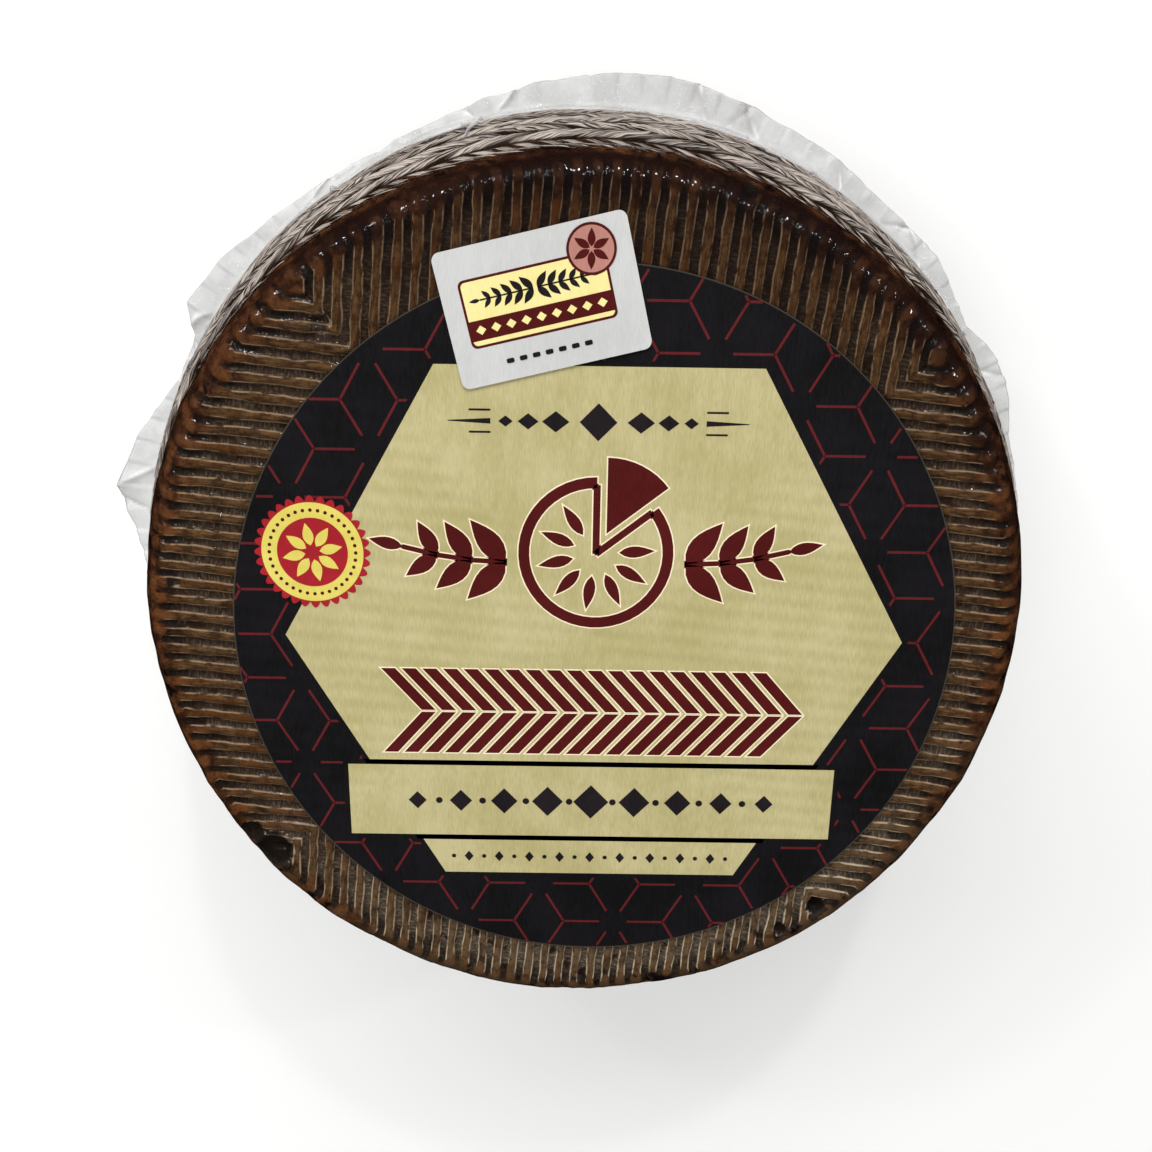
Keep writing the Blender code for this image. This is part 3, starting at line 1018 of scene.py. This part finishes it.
def lattice_lines():
    """Broken lines of a common lattice of cubes: three arms at each junction, kept on the paper."""
    limit = LABEL_RADIUS - LABEL_MARGIN
    step_x, step_y = 1.5 * LATTICE_EDGE, math.sqrt(3) / 2 * LATTICE_EDGE
    lines = []
    for i, j in itertools.product(range(-6, 7), range(-10, 11)):
        x, y = i * step_x, (2 * j + i % 2) * step_y
        for shift, bearings in ((0.0, (60, 180, 300)), (LATTICE_EDGE, (0, 120, 240))):
            for turn in map(math.radians, bearings):
                spots = [polar(k / 12 * LATTICE_ARM, turn, (x + shift, y)) for k in range(13)]
                inside = [spot for spot in spots if math.hypot(*spot) < limit]
                if len(inside) > 1:
                    lines.append(bar(inside[0], inside[-1], LATTICE_WIDTH))
    return lines


def sprig(start, bend, pairs, size):
    """A stem with paired leaves that curves away along +X, growing smaller to its tip."""
    shares = [k / pairs for k in range(pairs + 1)]
    spots = [(start[0] + size * pairs * 0.62 * share, start[1] + bend * share ** 2) for share in shares]
    shapes = []
    for k, (near, far) in enumerate(zip(spots, spots[1:])):
        shapes.append(bar(near, far, size * 0.09))
        lean = math.atan2(far[1] - near[1], far[0] - near[0])
        length = size * (1.0 - 0.45 * k / pairs)
        for side in (1, -1):
            shapes.append(moved(leaf(length, length * 0.42), near, lean + side * math.radians(48)))
    shapes.append(moved(leaf(size * 0.62, size * 0.22), spots[-1], lean))
    return shapes


def wheel_emblem(centre, radius):
    """A cheese seen from above with one wedge drawn out."""
    start, span = EMBLEM_OPENING + EMBLEM_GAP / 2, math.tau - EMBLEM_GAP
    turns = [start + span * k / 40 for k in range(41)]
    rim = [polar(radius, turn) for turn in turns]
    shapes = [rim + [polar(radius * 0.86, turn) for turn in reversed(turns)]]
    for turn in (turns[0], turns[-1]):
        shapes.append(bar((0, 0), polar(radius * 0.9, turn), radius * 0.09))
    for turn in (start + span * k / 9 for k in range(1, 9)):
        shapes.append(moved(leaf(radius * 0.46, radius * 0.15), polar(radius * 0.30, turn), turn))
    cut = [polar(radius * 0.98, start + EMBLEM_GAP * (k / 8 - 1)) for k in range(9)]
    shapes.append(moved([(0.0, 0.0)] + cut, polar(radius * 0.30, EMBLEM_OPENING)))
    return [moved(shape, centre) for shape in shapes]


def plait_band(level, half_width, height):
    """A herringbone band: slanted strands in two rows that lean opposite ways."""
    pitch, half, margin = 4.4 * MM, 1.5 * MM, 0.25 * MM
    count = int(half_width / pitch)
    shapes = []
    for k, row in itertools.product(range(-count, count + 1), (0, 1)):
        shift = height * 0.21 * (1 if row == 0 else -1)
        low, high = level + row * height / 2 + margin, level + (row + 1) * height / 2 - margin
        near, far = k * pitch - shift, k * pitch + shift
        shapes.append([(near - half, low), (near + half, low), (far + half, high), (far - half, high)])
    return shapes


def rule_ornament(level, half_width):
    """A slender rule: a lozenge in the middle, then smaller ones and three lines on each side."""
    side = []
    for k, at in enumerate((8.5, 14.0, 18.5)):
        size = (4.2 - 1.0 * k) * MM
        side.append(moved(lozenge(size * 1.3, size), (at * MM, level)))
    near, far = 21.5 * MM, half_width * 0.86
    thick, thin = 0.55 * MM, 0.08 * MM
    taper = [(near, -thick), (half_width, -thin), (half_width, thin), (near, thick)]
    side.append(moved(taper, (0, level)))
    for lift in (2.2 * MM, -2.2 * MM):
        side.append(box(near, far, level + lift - 0.2 * MM, level + lift + 0.2 * MM))
    middle = moved(lozenge(7.5 * MM, 7.5 * MM), (0, level))
    return [middle] + side + [mirrored(shape) for shape in side]


def print_on(label, name, layer, ink, outlines):
    """One piece of flat plates, each from an anticlockwise outline in the label's own frame.

    The layer is the height of their tops over the paper, counted in thicknesses of ink, and
    layer 0 is the paper itself.
    """
    low, high = label.box
    top = high.z + layer * INK
    thickness = INK if layer else high.z - low.z
    points, faces = [], []
    for outline in outlines:
        base, size = len(points), len(outline)
        for level in (top, top - thickness):
            points += [(x, y, level) for x, y in moved(outline, (low + high) / 2, label.turn)]
        faces.append([base + k for k in range(size)])
        faces.append([base + size + k for k in reversed(range(size))])
        for k in range(size):
            after = (k + 1) % size
            faces.append([base + k, base + size + k, base + size + after, base + after])
    place(mesh_object(name, points, faces, bpy.data.materials[ink]), label.slot, label.node)


def make_round_label():
    strip_low, strip_high = STRIP_LEVEL - STRIP_HALF[1], STRIP_LEVEL + STRIP_HALF[1]
    strip = box(-STRIP_HALF[0], STRIP_HALF[0], strip_low, strip_high)
    upper_panel = hexagon_part(strip_high + PANEL_GAP, HEXAGON_TOP)
    foot_panel = hexagon_part(-HEXAGON_TOP, strip_low - PANEL_GAP)
    hexagon = hexagon_part(-HEXAGON_TOP, HEXAGON_TOP)

    ornament = wheel_emblem(EMBLEM_PLACE, EMBLEM_RADIUS)
    for shape in sprig(*LABEL_SPRIG):
        ornament += [shape, mirrored(shape)]
    ornament += plait_band(*PLAIT)

    rules = rule_ornament(*RULE)
    for k in range(-4, 5):
        size = (8.2 - 1.0 * abs(k)) * MM
        rules.append(moved(lozenge(size * 0.95, size), (k * STRIP_PITCH, STRIP_LEVEL)))
        if k < 4:
            rules.append(disc(0.75 * MM, 12, ((k + 0.5) * STRIP_PITCH, STRIP_LEVEL)))
    level = (-HEXAGON_TOP + strip_low - PANEL_GAP) / 2
    for k in range(-9, 10):
        shape = lozenge(2.0 * MM, 2.6 * MM) if k % 2 == 0 else disc(0.5 * MM, 10)
        rules.append(moved(shape, (k * FOOT_PITCH, level)))

    for piece in (
        ("label_paper", 0, "label_edge", [disc(LABEL_RADIUS, 240)]),
        ("label_field", 0.8, "label_black", [disc(LABEL_RADIUS - LABEL_MARGIN, 240)]),
        ("label_lattice", 1.4, "label_red_line", lattice_lines()),
        ("label_panel_edge", 2.0, "label_black",
         [outset(hexagon, PANEL_OUTLINE), outset(strip, STRIP_OUTLINE)]),
        ("label_panels", 2.8, "label_cream", [upper_panel, strip, foot_panel]),
        ("label_ornament_edge", 3.6, "label_pale",
         [outset(shape, ORNAMENT_OUTLINE) for shape in ornament]),
        ("label_ornament", 4.4, "label_wine", ornament),
        ("label_rules", 3.6, "label_soot", rules),
    ):
        print_on(ROUND_LABEL, *piece)


def make_seal():
    """The round seal at the left of the label, printed on it."""
    beads = [disc(0.38 * MM, 10, spot) for spot in disc(SEAL_BEADS, 36, SEAL_PLACE)]
    flower = ring_of(leaf(4.8 * MM, 2.2 * MM), 8, 1.5 * MM, SEAL_PLACE, 0.2)
    for piece in (
        ("seal_rim", 3.8, "seal_crimson", [lobed(SEAL_RADIUS, 1.3 * MM, 32, SEAL_PLACE, 6)]),
        ("seal_field", 4.6, "seal_yellow", [disc(SEAL_FIELD, 64, SEAL_PLACE)]),
        ("seal_beads", 5.4, "label_wine", beads),
        ("seal_disc", 5.4, "seal_crimson", [disc(SEAL_DISC, 48, SEAL_PLACE)]),
        ("seal_flower", 6.2, "seal_yellow", flower),
    ):
        print_on(ROUND_LABEL, *piece)


def make_control_label():
    """The small label: pale plastic with a generic framed ornament."""
    half, rise = TAG_BAND_HALF
    band = moved(box(-half, half, -rise, rise), TAG_BAND_PLACE)
    row = [(k * 3.0 * MM, 0.0) for k in range(-4, 5)]
    marks = [moved(lozenge(2.0 * MM, 1.8 * MM), spot) for spot in moved(row, TAG_BAND_PLACE)]

    twigs = []
    for shape in sprig(*TAG_SPRIG):
        twigs += [moved(side, (TAG_FRAME_PLACE[0], 0)) for side in (shape, mirrored(shape))]
    dash = rounded_box(1.5 * MM, 0.9 * MM, 0.3 * MM)
    twigs += [moved(dash, ((-8.6 + 2.6 * k) * MM, -9.4 * MM)) for k in range(7)]
    flower = ring_of(leaf(3.4 * MM, 1.5 * MM), 6, 0.4 * MM, TAG_ROUND_PLACE, 0.3)

    for piece in (
        ("tag_plate", 0, "tag_white", [rounded_box(*TAG_SHEET)]),
        ("tag_frame", 0.8, "label_wine", [moved(rounded_box(*TAG_FRAME), TAG_FRAME_PLACE)]),
        ("tag_field", 1.6, "tag_gold", [moved(rounded_box(*TAG_FIELD), TAG_FRAME_PLACE)]),
        ("tag_band", 2.4, "label_wine", [band]),
        ("tag_marks", 3.2, "tag_gold", marks),
        ("tag_twigs", 2.4, "label_soot", twigs),
        ("tag_round_edge", 3.2, "label_wine", [disc(TAG_ROUND_RADIUS, 40, TAG_ROUND_PLACE)]),
        ("tag_round", 4.0, "tag_rose", [disc(TAG_ROUND_FIELD, 40, TAG_ROUND_PLACE)]),
        ("tag_round_flower", 4.8, "label_wine", flower),
    ):
        print_on(CONTROL_LABEL, *piece)


# Floor, lights and camera

FLOOR_HALF = 3.0
FLOOR_LEVEL = -0.2 * MM
LIGHT_AIM = (0.0, 0.0, 0.08)
WORLD_STRENGTH = 0.30

# Name, place, width and depth, and power. The sparks alone are mirrored in the film.
LIGHTS = (
    ("key_back", (-0.15, 1.00, 0.80), (1.4, 0.6), 12.0),
    ("fill_left", (-1.20, 0.45, 0.60), (0.7, 0.7), 5.0),
    ("fill_right", (1.30, 0.30, 0.50), (0.7, 0.7), 2.6),
    ("front_low", (0.0, -1.40, 0.50), (1.4, 0.3), 4.0),
    ("top_front", (-0.2, -0.40, 1.50), (1.2, 1.2), 7.0),
    ("spark_back", (0.10, 0.88, 0.82), (0.05, 0.05), 1.8),
    ("spark_right", (0.85, 0.55, 0.85), (0.05, 0.05), 1.0),
    ("spark_left", (-0.60, 0.70, 0.80), (0.06, 0.06), 0.8),
)


def make_stage():
    material, shader, where = new_material("floor_paper")
    shade = mix(grain(where, 0.25, 2), "f6f6f5", "fafaf9")
    set_shader(shader, Base_Color=shade, Roughness=0.75, Specular_IOR_Level=0.2)
    corners = [(x, y, 0) for x, y in box(-FLOOR_HALF, FLOOR_HALF, -FLOOR_HALF, FLOOR_HALF)]
    floor = mesh_object("floor", corners, [(0, 1, 2, 3)], material)
    floor.location.z = FLOOR_LEVEL
    floor.visible_glossy = False


def add_light(name, spot, size, power):
    lamp = bpy.data.lights.new(name, "AREA")
    lamp.shape = "RECTANGLE"
    lamp.size, lamp.size_y = size
    lamp.energy = power
    item = add_object(name, lamp)
    item.location = spot
    item.rotation_euler = (Vector(LIGHT_AIM) - Vector(spot)).to_track_quat("-Z", "Y").to_euler()
    item.visible_glossy = name.startswith("spark")


def make_world():
    world = bpy.data.worlds.new("studio")
    scene.world = world
    world.use_nodes = True
    set_shader(world.node_tree.nodes["Background"], Color="ffffff", Strength=WORLD_STRENGTH)
    world.cycles_visibility.glossy = False
    scene.view_settings.view_transform = "Standard"


def make_camera():
    lens = bpy.data.cameras.new("camera")
    lens.lens = CAMERA_LENS
    lens.sensor_width = CAMERA_SENSOR
    lens.shift_y = CAMERA_SHIFT
    lens.clip_start = CAMERA_NEAR
    item = add_object("camera", lens)
    item.location = CAMERA_PLACE
    item.rotation_euler = [math.radians(turn) for turn in CAMERA_TURN]
    scene.camera = item


make_camera()
make_wheel(rind_material())
make_film(film_material())
for paper, values in PAPERS.items():
    paper_material(paper, *values)
make_round_label()
make_seal()
make_control_label()
make_stage()
for light in LIGHTS:
    add_light(*light)
make_world()
